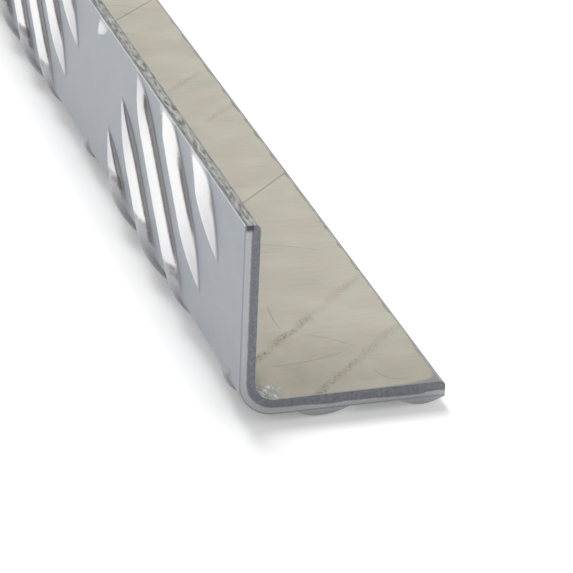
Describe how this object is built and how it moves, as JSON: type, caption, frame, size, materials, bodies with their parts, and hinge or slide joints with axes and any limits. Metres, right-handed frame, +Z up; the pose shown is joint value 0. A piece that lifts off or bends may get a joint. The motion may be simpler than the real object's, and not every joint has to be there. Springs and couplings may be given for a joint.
{
  "type": "tread plate angle",
  "caption": "Straight L-shaped aluminium angle folded from tread plate, raised diagonal bars outside and plain faces inside, for capping and protecting edges.",
  "frame": {"origin": "bottom centre of the bounding box, halfway along the stock, on the plane of the bar crests that it lies on", "axes": "+Y along the stock, near end at -Y; +Z up, floor leg lying; wall leg stands on the -X side"},
  "size_m": [0.0208, 1, 0.02],
  "materials": {
    "mill_aluminium": "mill finish, bars burnished brighter than the sheet"
  },
  "bodies": {
    "root": {"tread_angle": "mill_aluminium"}
  },
  "joints": []
}
